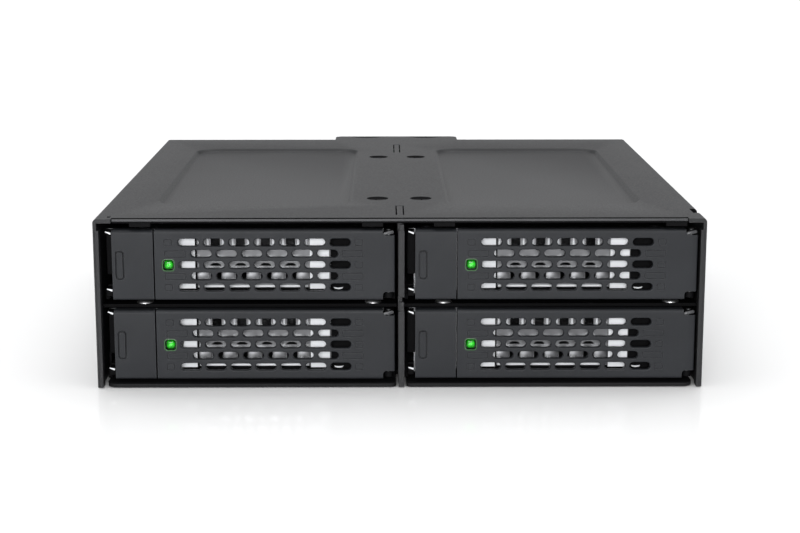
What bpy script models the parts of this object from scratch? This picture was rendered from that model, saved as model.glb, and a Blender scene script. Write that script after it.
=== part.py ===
"""Four-tray drive enclosure for one half-height drive bay.

A folded steel case holds four pull-out trays for 2.5 inch drives, two wide and two high. Each tray has a
release button on the left, a vented swing lever hinged on the right, and a status light in the lever. A
backplane board joins the drives to the ports on the rear panel, and a 40 mm fan blows out at the back.

Every size below is in millimetres and is turned into metres where a mesh is made. +X is right, -Y is the
front, +Z is up. The origin is the bottom centre of the whole object.
"""

import math

import bmesh
import bpy
from mathutils import Matrix, Vector

MM = 0.001

# Case
CASE_W = 146.0
CASE_H = 41.3
CASE_D = 145.0
FAN_SIZE = 40.0
FAN_T = 10.0
FAN_GAP = 0.3
SCREW_HEAD_T = 1.6
REAR_REACH = FAN_GAP + FAN_T + 0.1 + SCREW_HEAD_T
FRONT = -(CASE_D + REAR_REACH) / 2
REAR = FRONT + CASE_D

TOP_T = 1.0
WALL_T = 0.8
HEM_T = 1.3
HEM_D = 3.0
HEM_TOP = 38.5
LIP_HALF = 68.4
LIP_T = 0.8
PAN_T = 0.8
SHELF_T = 0.8
DIVIDER_T = 1.0
GAP = 0.3

# Trays
TRAY_W = 67.5
TRAY_H = 17.0
TRAY_PITCH_X = 72.4
TRAY_PITCH_Z = 19.6
TRAY_X = -68.75
TRAY_Z = 1.9
TRAY_SETBACK = 0.8
FACE_T = 3.0
SKIN_T = 1.4
LATCH_W = 9.8
SEAM = 0.35
EDGE_ROUND = 0.5

# Slots of a lever, from the tray's left end and about the middle of its height
SLOT_W = 4.95
SLOT_H = 1.84
SLOT_PITCH_X = 6.03
SLOT_PITCH_Z = 2.74
SLOT_X = 18.24
LIGHT_X = 13.4
LIGHT_SIZE = 2.3

# Sheet-metal body of a tray
WALL_Y = 4.4
WALL_THICK = 1.0
SLED_LEFT = -2.5
SLED_RIGHT = 67.6
SLED_END = 122.6
SLED_FLOOR = 0.6
DRIVE_SIZE = (69.85, 100.2, 9.5)
DRIVE_Y = 23.6
DRIVE_Z = 2.8

# Hinge of a lever
PIN_R = 0.6
HINGE_R = FACE_T / 2
HINGE_X = TRAY_W - HINGE_R
NOTCH_W = 2.9
NOTCH_TOP = 1.4
NOTCH_BOTTOM = 1.9

# Rear
BOARD_Y = FRONT + 133.6
BOARD_T = 1.6
SCREW_R = 2.45
SCREW_X = 5.5
SCREW_AT = (0.207, 0.727)
FAN_HOLE = 16.0

PLACES = {
    "upper_left": (0, 1),
    "upper_right": (1, 1),
    "lower_left": (0, 0),
    "lower_right": (1, 0),
}


def clear_scene():
    for obj in list(bpy.data.objects):
        bpy.data.objects.remove(obj, do_unlink=True)


def make_collection(name):
    collection = bpy.data.collections.new(name)
    bpy.context.scene.collection.children.link(collection)
    return collection


def make_material(name, colour, roughness, metallic=0.0, glow=0.0):
    material = bpy.data.materials.new(name)
    material.use_nodes = True
    shader = material.node_tree.nodes["Principled BSDF"]
    shader.inputs["Base Color"].default_value = (*colour, 1.0)
    shader.inputs["Roughness"].default_value = roughness
    shader.inputs["Metallic"].default_value = metallic
    if glow:
        shader.inputs["Emission Color"].default_value = (*colour, 1.0)
        shader.inputs["Emission Strength"].default_value = glow
    return material


clear_scene()
PARTS = make_collection("four_bay_drive_enclosure")
CUTTERS = make_collection("cutters")

COATED = make_material("coated_steel", (0.115, 0.117, 0.125), 0.5, 0.2)
PLATED = make_material("plated_steel", (0.62, 0.63, 0.65), 0.32, 1.0)
BEZEL = make_material("bezel_plastic", (0.06, 0.063, 0.072), 0.5)
BLACK = make_material("black_plastic", (0.02, 0.02, 0.022), 0.45)
BOARD = make_material("circuit_board", (0.02, 0.075, 0.04), 0.45)
DRIVE = make_material("drive_case", (0.5, 0.51, 0.53), 0.35, 0.9)
SCREW = make_material("black_screw", (0.03, 0.03, 0.032), 0.4, 0.8)
LIGHT = make_material("green_light", (0.05, 0.9, 0.12), 0.25, 0.0, 3.0)


# Mesh helpers. Each takes millimetres.


def add_box(bm, low, high):
    """A box between two corners."""
    low, high = Vector(low), Vector(high)
    placed = Matrix.Translation((low + high) / 2) @ Matrix.Diagonal((*(high - low), 1.0))
    return bmesh.ops.create_cube(bm, size=1.0, matrix=placed)["verts"]


def turned_to(axis):
    """The rotation that takes +Z to the named axis."""
    if axis == "X":
        return Matrix.Rotation(math.pi / 2, 4, "Y")
    if axis == "Y":
        return Matrix.Rotation(-math.pi / 2, 4, "X")
    return Matrix.Identity(4)


def add_cylinder(bm, centre, radius, length, axis="Z", sides=24, end_radius=None):
    """A cylinder, or a cone frustum, whose middle is at centre."""
    placed = Matrix.Translation(Vector(centre)) @ turned_to(axis)
    bmesh.ops.create_cone(
        bm,
        cap_ends=True,
        segments=sides,
        radius1=radius,
        radius2=radius if end_radius is None else end_radius,
        depth=length,
        matrix=placed,
    )


def add_prism(bm, outline, low, high, axis="Z"):
    """A flat outline drawn through the given axis, from low to high."""
    if axis == "Z":
        points = [(a, b, low) for a, b in outline]
        along = Vector((0, 0, high - low))
    elif axis == "Y":
        points = [(a, low, b) for a, b in outline]
        along = Vector((0, high - low, 0))
    else:
        points = [(low, a, b) for a, b in outline]
        along = Vector((high - low, 0, 0))
    face = bm.faces.new([bm.verts.new(point) for point in points])
    moved = bmesh.ops.extrude_face_region(bm, geom=[face])["geom"]
    bmesh.ops.translate(bm, vec=along, verts=[v for v in moved if isinstance(v, bmesh.types.BMVert)])
    return face


def arc(centre, radius, start, end, steps):
    """Points on a circle from one angle to another, in degrees."""
    angles = [math.radians(start + (end - start) * i / steps) for i in range(steps + 1)]
    return [(centre[0] + radius * math.cos(a), centre[1] + radius * math.sin(a)) for a in angles]


def rounded_rectangle(low, high, radius, steps=4):
    """The outline of a rectangle whose corners are arcs."""
    (x0, y0), (x1, y1) = low, high
    return (
        arc((x1 - radius, y0 + radius), radius, -90, 0, steps)
        + arc((x1 - radius, y1 - radius), radius, 0, 90, steps)
        + arc((x0 + radius, y1 - radius), radius, 90, 180, steps)
        + arc((x0 + radius, y0 + radius), radius, 180, 270, steps)
    )


def oblong(centre, width, height, steps=3):
    """The outline of a slot with round ends, wide or tall."""
    radius = min(width, height) / 2
    reach = abs(width - height) / 2
    x, y = centre
    if width > height:
        ends = arc((x + reach, y), radius, -90, 90, steps) + arc((x - reach, y), radius, 90, 270, steps)
    else:
        ends = arc((x, y + reach), radius, 0, 180, steps) + arc((x, y - reach), radius, 180, 360, steps)
    return ends


def make_object(name, bm, material=None, pivot=(0, 0, 0), parent=None):
    """An object whose origin is the pivot. The mesh is given in the parent's millimetres."""
    bmesh.ops.recalc_face_normals(bm, faces=bm.faces)
    bmesh.ops.translate(bm, vec=-Vector(pivot), verts=bm.verts)
    bmesh.ops.scale(bm, vec=(MM, MM, MM), verts=bm.verts)
    mesh = bpy.data.meshes.new(name)
    bm.to_mesh(mesh)
    bm.free()
    obj = bpy.data.objects.new(name, mesh)
    obj.location = Vector(pivot) * MM
    if parent:
        obj.parent = parent
    if material:
        mesh.materials.append(material)
        PARTS.objects.link(obj)
    else:
        obj.hide_render = True
        obj.display_type = "WIRE"
        CUTTERS.objects.link(obj)
    return obj


def combine(obj, bm, operation, parent=None):
    """Joins the mesh to the object, or takes it away."""
    number = len(obj.modifiers) + 1
    cutter = make_object(f"{obj.name}_{operation.lower()}_{number}", bm, parent=parent)
    modifier = obj.modifiers.new(f"{operation.lower()}_{number}", "BOOLEAN")
    modifier.operation = operation
    modifier.solver = "EXACT"
    modifier.object = cutter


def bake(obj):
    """Applies the object's modifiers, so that copies can share its mesh."""
    graph = bpy.context.evaluated_depsgraph_get()
    mesh = bpy.data.meshes.new_from_object(obj.evaluated_get(graph))
    mesh.name = obj.name
    obj.modifiers.clear()
    obj.data = mesh
    return obj


def copy_of(source, name, parent):
    obj = bpy.data.objects.new(name, source.data)
    obj.location = source.location
    obj.parent = parent
    PARTS.objects.link(obj)
    return obj


def smooth(obj, angle=30):
    obj.data.shade_smooth()
    obj.data.set_sharp_from_angle(angle=math.radians(angle))


# Case


def make_top_cover():
    """The top and both side walls, folded from one sheet, with a tab behind over the fan."""
    half = CASE_W / 2
    lip_gap = 0.9
    tab_d = 8.0
    profile = [
        (-half, 0),
        (-half + WALL_T, 0),
        (-half + WALL_T, CASE_H - TOP_T),
        (half - WALL_T, CASE_H - TOP_T),
        (half - WALL_T, 0),
        (half, 0),
        (half, CASE_H),
        (-half, CASE_H),
    ]
    bm = bmesh.new()
    add_prism(bm, profile, FRONT, REAR, "Y")
    edges = [
        e for e in bm.edges
        if all(abs(abs(v.co.x) - half) < 1e-4 and abs(v.co.z - CASE_H) < 1e-4 for v in e.verts)
    ]
    bmesh.ops.bevel(bm, geom=edges, offset=0.8, segments=3, affect="EDGES")
    cover = make_object("top_cover", bm, COATED)

    bm = bmesh.new()
    for side in (-1, 1):
        low, high = sorted((side * (half - HEM_T), side * (half - 0.1)))
        add_box(bm, (low, FRONT, 0), (high, FRONT + HEM_D, HEM_TOP))
    combine(cover, bm, "UNION")

    bm = bmesh.new()
    corner = 1.8
    base = 19.4
    tab = [(-base, REAR - 1), (base, REAR - 1), (base, REAR)]
    tab += arc((base - corner, REAR + tab_d - corner), corner, 0, 90, 3)
    tab += arc((-base + corner, REAR + tab_d - corner), corner, 90, 180, 3)
    tab += [(-base, REAR)]
    add_prism(bm, tab, CASE_H - TOP_T, CASE_H)
    combine(cover, bm, "UNION")

    bm = bmesh.new()
    reach = LIP_HALF + GAP
    add_box(bm, (-reach, FRONT - 1, CASE_H - TOP_T - 0.01), (reach, FRONT + LIP_T + lip_gap, CASE_H + 1))
    add_box(bm, (-70.0, FRONT + 2.2, CASE_H - TOP_T - 1), (-69.1, FRONT + 4.4, CASE_H + 1))
    add_box(bm, (71.0, FRONT + 7.9, CASE_H - TOP_T - 0.2), (half + 1, FRONT + 13.7, CASE_H + 1))
    combine(cover, bm, "DIFFERENCE")

    bm = bmesh.new()
    for side in (-1, 1):
        low, high = sorted((side * 11.5, side * 61.0))
        panel = rounded_rectangle((low, FRONT + 0.141 * CASE_D), (high, FRONT + 0.858 * CASE_D), 7.0, 5)
        add_prism(bm, panel, CASE_H - 0.4, CASE_H + 1)
    combine(cover, bm, "DIFFERENCE")

    bm = bmesh.new()
    for x, y in cover_screw_places():
        add_cylinder(bm, (x, y, CASE_H - 0.125), 1.5, 2.25, sides=16, end_radius=3.75)
    for low, high in TAB_SLOTS:
        slot = rounded_rectangle((-1.05, low), (1.05, high), 0.3, 1)
        add_prism(bm, slot, CASE_H - TOP_T - 1, CASE_H + 1)
    combine(cover, bm, "DIFFERENCE")

    bm = bmesh.new()
    for side in (-1, 1):
        centre_x = side * 9.3
        crescent = [(centre_x + 5.7, REAR + 7.0), (centre_x - 5.7, REAR + 7.0)]
        crescent += [(centre_x + a, REAR + 7.0 - 3.0 * (1 - (a / 5.7) ** 2)) for a in (-4.2, -2, 0, 2, 4.2)]
        add_prism(bm, crescent, CASE_H - TOP_T - 1, CASE_H + 1)
    for y in BAY_HOLES_Y:
        for z in BAY_HOLES_Z:
            add_cylinder(bm, (0, FRONT + y, z), 1.65, CASE_W + 10, "X", 12)
    combine(cover, bm, "DIFFERENCE")
    return cover


# Side screw holes of a half-height bay, measured from the front and from the bottom
BAY_HOLES_Y = (52.3, 131.6)
BAY_HOLES_Z = (10.0, 21.8)

# Dimples that steady a tray, from its left end
DIMPLES_X = (6.9, 62.2)

# The divider's tabs show through slots in the top
TAB_SLOTS = (
    (FRONT + 0.038 * CASE_D, FRONT + 0.131 * CASE_D),
    (FRONT + 0.793 * CASE_D, FRONT + 0.916 * CASE_D),
)


def cover_screw_places():
    return [(side * SCREW_X, FRONT + at * CASE_D) for at in SCREW_AT for side in (-1, 1)]


def dimple_places(side):
    """Where two dimples press on each tray of one column, from left to right."""
    tray_left = TRAY_X if side < 0 else TRAY_X + TRAY_PITCH_X
    return [tray_left + x for x in DIMPLES_X]


def make_front_lip():
    """The folded strip along the top of the front. Four tongues run back from it under the top."""
    low = CASE_H - 1.05
    high = CASE_H - 0.1
    tongue = CASE_H - 1.9
    bm = bmesh.new()
    verts = add_box(bm, (-LIP_HALF, FRONT, low), (LIP_HALF, FRONT + LIP_T, high))
    edges = [e for e in bm.edges if all(v in verts for v in e.verts) and e.calc_length() > 100]
    bmesh.ops.bevel(bm, geom=edges, offset=0.28, segments=2, affect="EDGES")
    lip = make_object("front_lip", bm, COATED)
    places = dimple_places(-1) + dimple_places(1)
    profile = [
        (FRONT + 0.2, tongue),
        (FRONT + 9.0, tongue),
        (FRONT + 9.0, tongue + 0.55),
        (FRONT + 0.65, tongue + 0.55),
        (FRONT + 0.65, low + 0.4),
        (FRONT + 0.2, low + 0.4),
    ]
    bm = bmesh.new()
    for x in places:
        add_prism(bm, profile, x - 2.5, x + 2.5, "X")
    combine(lip, bm, "UNION")
    bm = bmesh.new()
    for x in places:
        add_cylinder(bm, (x, FRONT + 5.5, tongue - 0.2), 0.8, 0.8, sides=12, end_radius=1.9)
    combine(lip, bm, "UNION")


def make_base_pan():
    """The bottom sheet, notched in front for the divider's foot, with a low flange at each side."""
    half = 70.9
    notch_d = 12.0
    foot = (-1.0, 1.5)
    front = FRONT + 0.2
    back = REAR - 1.4
    outline = arc((-half + 2.5, front + 2.5), 2.5, 180, 270, 4)
    outline += arc((foot[0] - 1.2, front + 1.2), 1.2, -90, 0, 3)
    outline += [(foot[0], front + notch_d), (foot[1], front + notch_d)]
    outline += arc((foot[1] + 1.2, front + 1.2), 1.2, 180, 270, 3)
    outline += arc((half - 2.5, front + 2.5), 2.5, -90, 0, 4)
    outline += [(half, back), (-half, back)]
    bm = bmesh.new()
    add_prism(bm, outline, 0, PAN_T)
    pan = make_object("base_pan", bm, COATED)
    flange = [(70.5, 0.05), (71.95, 0.05), (71.95, 6.0), (71.45, 6.0), (71.45, 0.75), (70.5, 0.75)]
    bm = bmesh.new()
    for side in (-1, 1):
        add_prism(bm, [(side * x, z) for x, z in flange], FRONT + 12, back - 2, "Y")
    combine(pan, bm, "UNION")


def make_divider():
    """The upright sheet between the bays. Its front edge is folded, and its tabs reach into the top."""
    bm = bmesh.new()
    half = DIVIDER_T / 2
    add_box(bm, (-half, FRONT + 1.4, PAN_T + GAP), (half, BOARD_Y - 1.0, CASE_H - TOP_T - GAP))
    divider = make_object("center_divider", bm, COATED)
    bm = bmesh.new()
    add_box(bm, (-0.6, FRONT + 0.1, 0.0), (1.15, FRONT + 2.6, 18.6))
    add_box(bm, (-0.6, FRONT + 0.1, 22.2), (1.15, FRONT + 2.6, HEM_TOP - 0.1))
    combine(divider, bm, "UNION")
    bm = bmesh.new()
    add_box(bm, (-0.15, FRONT + 0.3, 18.0), (0.9, FRONT + 2.5, 20.9))
    add_box(bm, (-0.15, FRONT + 0.3, HEM_TOP - 1), (0.9, FRONT + 2.5, CASE_H - 1.5))
    combine(divider, bm, "UNION")
    bm = bmesh.new()
    for low, high in TAB_SLOTS:
        add_box(bm, (-0.7, low + GAP, CASE_H - 4), (0.7, high - GAP, CASE_H - 0.05))
    combine(divider, bm, "UNION")
    bm = bmesh.new()
    for at in SCREW_AT:
        y = FRONT + at * CASE_D
        add_box(bm, (-9, y - 6, CASE_H - TOP_T - GAP - 0.8), (9, y + 6, CASE_H - TOP_T - GAP))
    combine(divider, bm, "UNION")
    bm = bmesh.new()
    for x, y in cover_screw_places():
        add_cylinder(bm, (x, y, CASE_H - 2), 1.45, 6, sides=12)
    combine(divider, bm, "DIFFERENCE")


def make_shelf(name, side):
    """The sheet that carries an upper tray, with two raised dimples that steady it."""
    top = TRAY_Z + TRAY_PITCH_Z - 1.75
    left = -71.9 if side < 0 else 0.8
    right = -0.8 if side < 0 else 71.9
    bm = bmesh.new()
    add_box(bm, (left, FRONT + 4.2, top - SHELF_T), (right, FRONT + 126, top))
    shelf = make_object(name, bm, COATED)
    bm = bmesh.new()
    for x in dimple_places(side):
        add_cylinder(bm, (x, FRONT + 6.4, top + 0.4), 2.0, 1.2, sides=12, end_radius=0.9)
    combine(shelf, bm, "UNION")


def port_places():
    """Centre x, centre z, width and height of each rear port, with its name."""
    places = [(f"data_port_{i + 1}", x, 30.0, 15.0, 6.6) for i, x in enumerate((-54.0, -34.0, 34.0, 54.0))]
    places += [(f"power_port_{i + 1}", x, 12.0, 25.0, 7.2) for i, x in enumerate((-44.0, 44.0))]
    return places


def fan_centre(y):
    return (0.0, y, 0.1 + FAN_SIZE / 2)


def make_rear_panel():
    """The rear sheet, with a window for each port and a slotted grille in front of the fan."""
    bm = bmesh.new()
    add_box(bm, (-71.9, REAR - 1.0, 1.2), (71.9, REAR, CASE_H - TOP_T - GAP))
    panel = make_object("rear_panel", bm, COATED)
    bm = bmesh.new()
    for _, x, z, width, height in port_places():
        low = (x - width / 2 - GAP, REAR - 2, z - height / 2 - GAP)
        add_box(bm, low, (x + width / 2 + GAP, REAR + 1, z + height / 2 + GAP))
    centre = fan_centre(REAR)
    reach = 17.5
    for row in range(-3, 4):
        z = row * 4.8
        half = math.sqrt(reach**2 - z**2) - 0.8
        slot = rounded_rectangle((-half, centre[2] + z - 1.6), (half, centre[2] + z + 1.6), 0.8, 1)
        add_prism(bm, slot, REAR - 2, REAR + 1, "Y")
    for x, z in fan_screw_places():
        add_cylinder(bm, (x, REAR, z), 1.6, 4, "Y", 12)
    combine(panel, bm, "DIFFERENCE")


def make_backplane():
    """The circuit board that the drives plug into, slotted for air."""
    bm = bmesh.new()
    add_box(bm, (-70.8, BOARD_Y, 1.6), (70.8, BOARD_Y + BOARD_T, CASE_H - TOP_T - 0.6))
    board = make_object("backplane_board", bm, BOARD)
    bm = bmesh.new()
    for z in (17.2, 37.0):
        for x in (-60, -44, -28, -12, 12, 28, 44, 60):
            low = (x - 6.0, BOARD_Y - 1, z - 1.3)
            add_box(bm, low, (x + 6.0, BOARD_Y + BOARD_T + 1, z + 1.3))
    combine(board, bm, "DIFFERENCE")


def make_port(name, x, z, width, height):
    """A receptacle on the board, with a contact blade in its mouth."""
    front = BOARD_Y + BOARD_T + 0.2
    back = REAR + 1.0
    depth = 5.0
    bm = bmesh.new()
    add_box(bm, (x - width / 2, front, z - height / 2), (x + width / 2, back, z + height / 2))
    port = make_object(name, bm, BLACK)
    bm = bmesh.new()
    inset = 1.1
    low = (x - width / 2 + inset, back - depth, z - height / 2 + inset)
    add_box(bm, low, (x + width / 2 - inset, back + 1, z + height / 2 - inset))
    combine(port, bm, "DIFFERENCE")
    bm = bmesh.new()
    blade = width / 2 - 2.2
    add_box(bm, (x - blade, back - depth - 0.5, z - 0.6), (x + blade, back - 0.5, z + 0.6))
    combine(port, bm, "UNION")


def make_drive_connector(name, x, z):
    """The receptacle that a drive's plug end meets."""
    bm = bmesh.new()
    back = BOARD_Y - 0.2
    front = back - 7.8
    add_box(bm, (x - 21, front, z - 2.7), (x + 21, back, z + 2.7))
    connector = make_object(name, bm, BLACK)
    bm = bmesh.new()
    add_box(bm, (x - 17, front - 1, z - 0.8), (x + 7, front + 4, z + 0.8))
    add_box(bm, (x + 9, front - 1, z - 0.8), (x + 17, front + 4, z + 0.8))
    combine(connector, bm, "DIFFERENCE")


# Fan


def fan_screw_places():
    _, _, z = fan_centre(0)
    return [(i * FAN_HOLE, z + j * FAN_HOLE) for i in (-1, 1) for j in (-1, 1)]


def make_fan_housing():
    """The square frame, with the motor plate and its struts on the outside."""
    front = REAR + FAN_GAP
    back = front + FAN_T
    centre = fan_centre((front + back) / 2)
    half = FAN_SIZE / 2
    bm = bmesh.new()
    outline = rounded_rectangle((-half, centre[2] - half), (half, centre[2] + half), 2.5, 2)
    add_prism(bm, outline, front, back, "Y")
    housing = make_object("fan_housing", bm, BLACK, pivot=centre)
    bm = bmesh.new()
    add_cylinder(bm, centre, 18.8, FAN_T + 4, "Y", 40)
    for x, z in fan_screw_places():
        add_cylinder(bm, (x, centre[1], z), 1.7, FAN_T + 4, "Y", 10)
    combine(housing, bm, "DIFFERENCE")
    bm = bmesh.new()
    add_cylinder(bm, (0, back - 0.6, centre[2]), 9.0, 1.2, "Y", 24)
    combine(housing, bm, "UNION")
    bm = bmesh.new()
    add_box(bm, (-19.3, back - 1.15, centre[2] - 1.0), (19.3, back - 0.05, centre[2] + 1.0))
    combine(housing, bm, "UNION")
    bm = bmesh.new()
    add_box(bm, (-1.0, back - 1.1, centre[2] - 19.3), (1.0, back - 0.1, centre[2] + 19.3))
    combine(housing, bm, "UNION")
    bm = bmesh.new()
    add_cylinder(bm, (0, back - 3.5, centre[2]), 1.0, 6.0, "Y", 12)
    combine(housing, bm, "UNION")


def make_fan_rotor():
    """A hub with seven blades. Each layer is turned a little further, which pitches the blades."""
    blades = 7
    hub_r = 9.5
    tip_r = 18.0
    layers = 4
    twist = math.radians(38)
    front = REAR + FAN_GAP + 1.0
    length = 7.4
    centre = fan_centre(front + length / 2)
    bm = bmesh.new()
    rings = []
    for layer in range(layers):
        y = front + length * layer / (layers - 1)
        turn = twist * layer / (layers - 1)
        ring = []
        for blade in range(blades):
            for radius, share in ((hub_r, 0.0), (tip_r, 0.1), (tip_r, 0.5), (hub_r, 0.42), (hub_r, 0.7)):
                angle = turn + 2 * math.pi * (blade + share) / blades
                ring.append(bm.verts.new((radius * math.cos(angle), y, centre[2] + radius * math.sin(angle))))
        rings.append(ring)
    count = len(rings[0])
    for lower, upper in zip(rings, rings[1:]):
        for i in range(count):
            j = (i + 1) % count
            bm.faces.new((lower[i], lower[j], upper[j], upper[i]))
    bm.faces.new(rings[0])
    bm.faces.new(rings[-1])
    rotor = make_object("fan_rotor", bm, BLACK, pivot=centre)
    bm = bmesh.new()
    add_cylinder(bm, (0, front + length, centre[2]), 1.2, 10.5, "Y", 16)
    combine(rotor, bm, "DIFFERENCE")


def make_screw(name, place, axis, profile, material):
    """A turned screw. The profile is radius and height, from the tip of the head down."""
    mesh = bpy.data.meshes.new(name)
    points = [(radius * MM, 0, height * MM) for radius, height in profile]
    mesh.from_pydata(points, [(i, i + 1) for i in range(len(points) - 1)], [])
    obj = bpy.data.objects.new(name, mesh)
    obj.location = Vector(place) * MM
    if axis == "Y":
        obj.rotation_euler = (-math.pi / 2, 0, 0)
    mesh.materials.append(material)
    PARTS.objects.link(obj)
    turned = obj.modifiers.new("turned", "SCREW")
    turned.axis = "Z"
    turned.steps = turned.render_steps = 16
    turned.use_merge_vertices = True
    turned.merge_threshold = 0.00001
    turned.use_smooth_shade = False


def make_screws():
    countersunk = [(0, 0), (SCREW_R, 0), (SCREW_R, -0.1), (1.2, -1.15), (1.2, -3.6), (0, -3.6)]
    for i, (x, y) in enumerate(cover_screw_places()):
        make_screw(f"cover_screw_{i + 1}", (x, y, CASE_H - 0.1), "Z", countersunk, SCREW)
    shank = FAN_T + FAN_GAP + 1.4
    top = SCREW_HEAD_T
    pan_head = [(0, top), (1.6, top), (2.6, top - 0.7), (2.6, 0), (1.4, 0), (1.4, -shank), (0, -shank)]
    for i, (x, z) in enumerate(fan_screw_places()):
        place = (x, REAR + FAN_GAP + FAN_T + 0.1, z)
        make_screw(f"fan_screw_{i + 1}", place, "Y", pan_head, SCREW)


# Trays. Each is made once in the tray's own frame: x from its left end, y back from its face, z up.


def face_block(left, right, round_right):
    """A block of the tray's face, with soft front edges and, at a hinge, a round end."""
    outline = [(left, FACE_T), (left, 0)]
    if round_right:
        outline += arc((HINGE_X, HINGE_R), HINGE_R, -90, 90, 6)
    else:
        outline += [(right, 0), (right, FACE_T)]
    bm = bmesh.new()
    add_prism(bm, outline, 0, TRAY_H)
    edges = [
        e for e in bm.edges
        if all(v.co.y < 1e-4 for v in e.verts) and abs(e.verts[0].co.z - e.verts[1].co.z) < 1e-4
    ]
    bmesh.ops.bevel(bm, geom=edges, offset=EDGE_ROUND, segments=2, affect="EDGES")
    return bm


def slot_centres():
    """Odd rows hold seven slots and even rows six, set half a pitch over."""
    for row in range(-2, 3):
        shifted = row % 2
        for i in range(6 if shifted else 7):
            x = SLOT_X + SLOT_PITCH_X * (i + shifted / 2)
            yield x, TRAY_H / 2 + row * SLOT_PITCH_Z


def make_lever(parent):
    """The vented swing lever. Its right end is a barrel on the hinge pin."""
    pivot = (HINGE_X, HINGE_R, TRAY_H / 2)
    lever = make_object("release_lever", face_block(LATCH_W + SEAM, TRAY_W, True), BEZEL, pivot, parent)
    bm = bmesh.new()
    for centre in slot_centres():
        add_prism(bm, oblong(centre, SLOT_W, SLOT_H), -1, FACE_T + 1, "Y")
    window = LIGHT_SIZE / 2 + 0.15
    add_box(bm, (LIGHT_X - window, -1, TRAY_H / 2 - window), (LIGHT_X + window, 5, TRAY_H / 2 + window))
    combine(lever, bm, "DIFFERENCE", parent)
    bm = bmesh.new()
    add_box(bm, (LATCH_W + SEAM + 1.6, SKIN_T, 1.2), (TRAY_W - 3.6, FACE_T + 1, TRAY_H - 1.2))
    combine(lever, bm, "DIFFERENCE", parent)
    bm = bmesh.new()
    left = TRAY_W - NOTCH_W
    add_box(bm, (left, -1, TRAY_H - NOTCH_TOP), (TRAY_W + 1, FACE_T + 1, TRAY_H + 1))
    add_box(bm, (left, -1, -1), (TRAY_W + 1, FACE_T + 1, NOTCH_BOTTOM))
    combine(lever, bm, "DIFFERENCE", parent)
    bm = bmesh.new()
    add_cylinder(bm, (HINGE_X, HINGE_R, TRAY_H / 2), PIN_R + 0.1, TRAY_H + 4, "Z", 12)
    combine(lever, bm, "DIFFERENCE", parent)
    return lever


def make_latch(parent):
    """The release button: the whole left end of the face, on a stem that slides in the tray's wall."""
    middle = (LATCH_W / 2, 0, TRAY_H / 2)
    latch = make_object("latch_button", face_block(0, LATCH_W, False), BEZEL, middle, parent)
    bm = bmesh.new()
    add_prism(bm, oblong((1.85, TRAY_H / 2), 1.8, 6.8), -1, 0.25, "Y")
    combine(latch, bm, "DIFFERENCE", parent)
    bm = bmesh.new()
    add_cylinder(bm, (middle[0], FACE_T + 2.8, middle[2]), 1.3, 6.4, "Y", 12)
    combine(latch, bm, "UNION", parent)
    return latch


def make_sled(parent):
    """The plated sheet body: an upright wall behind the face, a floor and two skids."""
    bm = bmesh.new()
    add_box(bm, (SLED_LEFT, WALL_Y + 0.2, SLED_FLOOR), (SLED_RIGHT, SLED_END, SLED_FLOOR + 0.8))
    sled = make_object("tray_sled", bm, PLATED, parent=parent)
    for low, high in ((SLED_LEFT, SLED_LEFT + 0.8), (SLED_RIGHT - 0.8, SLED_RIGHT)):
        bm = bmesh.new()
        add_box(bm, (low, WALL_Y + 0.4, -0.9), (high, SLED_END - 0.2, SLED_FLOOR + 0.7))
        combine(sled, bm, "UNION", parent)
    bm = bmesh.new()
    add_box(bm, (SLED_LEFT + 0.7, WALL_Y, 0.2), (TRAY_W - 0.3, WALL_Y + WALL_THICK, TRAY_H - 0.4))
    combine(sled, bm, "UNION", parent)
    bm = bmesh.new()
    add_box(bm, (-1.8, 1.6, 15.8), (-0.35, WALL_Y + 0.3, 16.5))
    add_box(bm, (-1.7, 1.6, 0.6), (-0.35, WALL_Y + 0.3, 2.5))
    combine(sled, bm, "UNION", parent)
    ear_r = 1.15
    ear = arc((HINGE_X, HINGE_R), ear_r, 180, 360, 8)
    ear += [(HINGE_X + ear_r, WALL_Y + 0.3), (HINGE_X - ear_r, WALL_Y + 0.3)]
    bm = bmesh.new()
    for low, high in ((TRAY_H - 0.9, TRAY_H - 0.2), (0.3, 1.6)):
        add_prism(bm, ear, low, high)
    combine(sled, bm, "UNION", parent)
    bm = bmesh.new()
    for i in range(1, 5):
        x = SLOT_X + SLOT_PITCH_X * i
        add_box(bm, (x - 1.1, 3, 11.2), (x + 1.1, 7, 14.6))
        half_oval = [(x + a, z) for a, z in ((-1.3, 7.45), (1.3, 7.45), (1.15, 7.8), (0.6, 8.1), (-0.6, 8.1), (-1.15, 7.8))]
        add_prism(bm, half_oval, 3, 7, "Y")
        add_box(bm, (x - 1.2, 3, 3.5), (x + 1.3, 7, 6.2))
    add_box(bm, (20.0, 3, -0.5), (46.5, 9, 2.1))
    add_box(bm, (-3.0, 3, 2.9), (-0.3, 7, 5.4))
    middle = TRAY_H / 2
    window = LIGHT_SIZE / 2 + 0.15
    add_box(bm, (LIGHT_X - window, 3, middle - window), (LIGHT_X + window, 7, middle + window))
    combine(sled, bm, "DIFFERENCE", parent)
    bm = bmesh.new()
    add_cylinder(bm, (LATCH_W / 2, WALL_Y, middle), 1.55, 4, "Y", 12)
    add_cylinder(bm, (HINGE_X, HINGE_R, middle), PIN_R + 0.06, TRAY_H + 4, "Z", 12)
    combine(sled, bm, "DIFFERENCE", parent)
    return sled


def make_hinge_pin(parent):
    bm = bmesh.new()
    centre = (HINGE_X, HINGE_R, TRAY_H / 2 + 0.1)
    add_cylinder(bm, centre, PIN_R, TRAY_H - 0.4, "Z", 12)
    return make_object("hinge_pin", bm, PLATED, centre, parent)


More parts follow.
